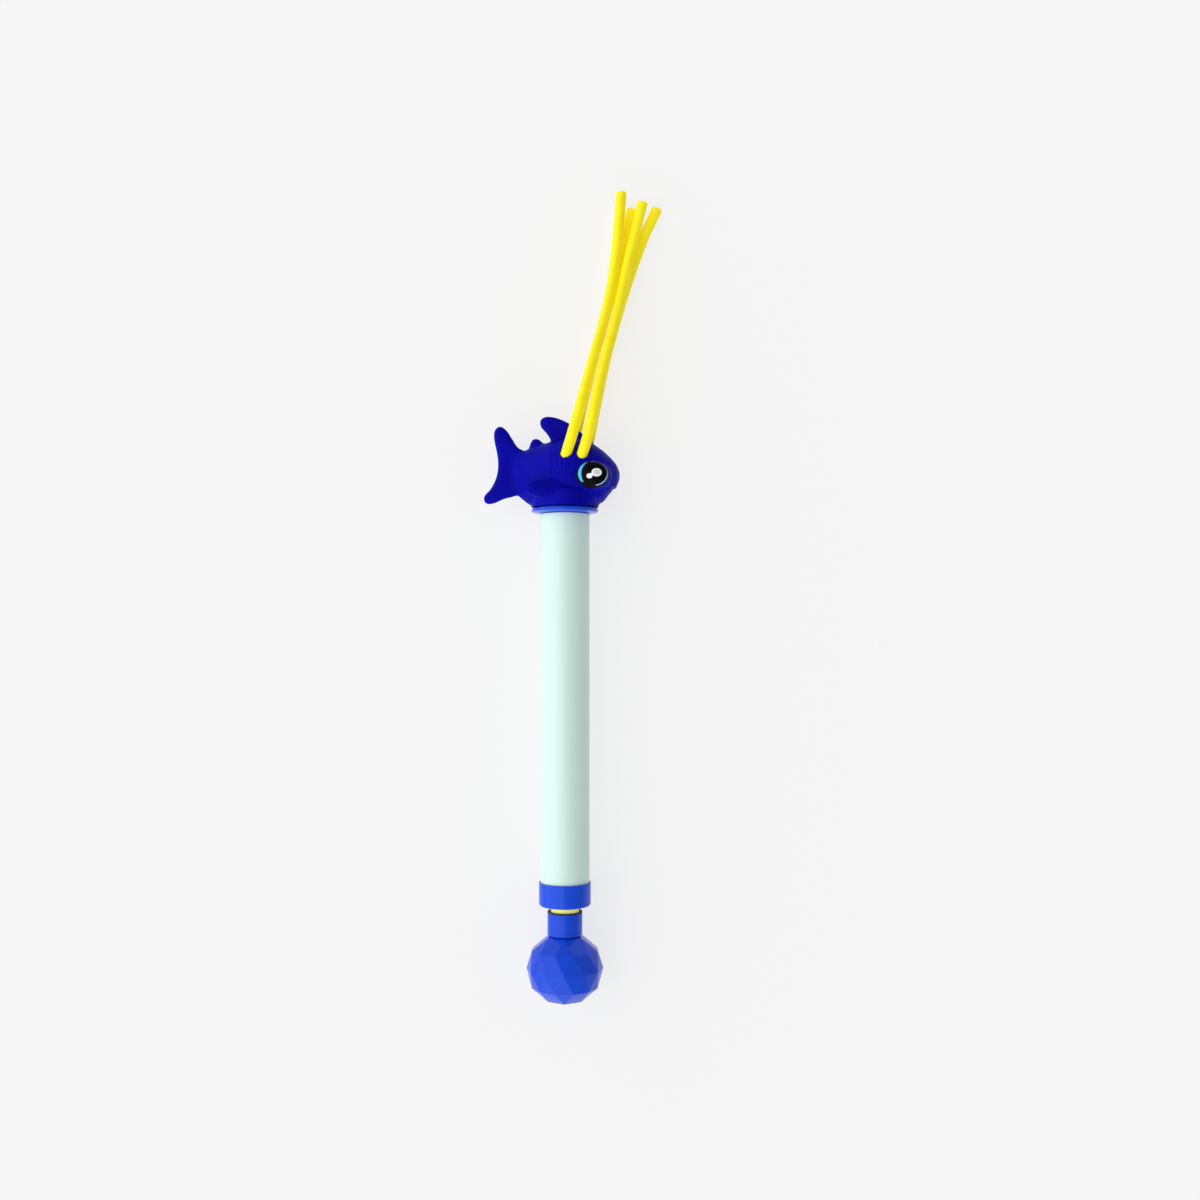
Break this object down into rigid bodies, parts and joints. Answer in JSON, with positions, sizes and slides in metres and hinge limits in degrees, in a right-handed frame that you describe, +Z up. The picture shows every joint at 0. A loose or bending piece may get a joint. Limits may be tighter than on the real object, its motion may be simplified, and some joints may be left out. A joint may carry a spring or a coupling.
{
  "type": "hand water pump",
  "caption": "Child's pull-and-push hand water pump with a soft shark head, flexible spray hoses and a faceted ball handle.",
  "frame": {"origin": "centre of the handle ball's flat end facet, on the pump's axis", "axes": "+Y along the pump's axis from the handle to the head, +X towards the shark's nose, +Z up as the pump lies on its side"},
  "size_m": [0.1161, 0.5295, 0.051],
  "materials": {
    "mint_barrel": "pale mint extruded plastic, satin gloss",
    "blue_plastic": "bright blue moulded plastic, satin gloss",
    "shark_vinyl": "dark ultramarine soft vinyl, satin",
    "yellow_hose": "bright yellow flexible tube, satin",
    "yellow_rod": "yellow extruded plastic",
    "white_plastic": "natural white moulded plastic",
    "seal_rubber": "black rubber",
    "screw_steel": "zinc-plated steel"
  },
  "bodies": {
    "pump_body": {"barrel_tube": "mint_barrel", "rear_cap": "blue_plastic", "rod_guide_ring": "white_plastic", "head_base": "blue_plastic", "base_seal_ring": "seal_rubber", "manifold_gasket": "seal_rubber", "spout_manifold": "white_plastic", "manifold_screw_1": "screw_steel", "manifold_screw_2": "screw_steel", "shark_head": "shark_vinyl", "hose_near_left": "yellow_hose", "hose_near_right": "yellow_hose", "hose_far_left": "yellow_hose", "hose_far_right": "yellow_hose"},
    "piston_slide": {"piston_seal": "seal_rubber"},
    "plunger": {"piston_rod": "yellow_rod", "rod_front_plug": "white_plastic", "piston_head": "white_plastic", "piston_screw": "screw_steel", "rod_end_plug": "white_plastic", "handle_neck": "blue_plastic", "handle_washer": "screw_steel", "handle_screw": "screw_steel", "ball_front_half": "blue_plastic", "ball_rear_half": "blue_plastic"}
  },
  "joints": [
    {"name": "plunger_slide", "type": "slide", "parent": "pump_body", "child": "piston_slide", "axis": [0, -1, 0], "range_m": [0, 0.215]},
    {"name": "plunger_swivel", "type": "hinge", "parent": "piston_slide", "child": "plunger", "pos_m": [0, 0.2, 0], "axis": [0, 1, 0], "continuous": true}
  ]
}
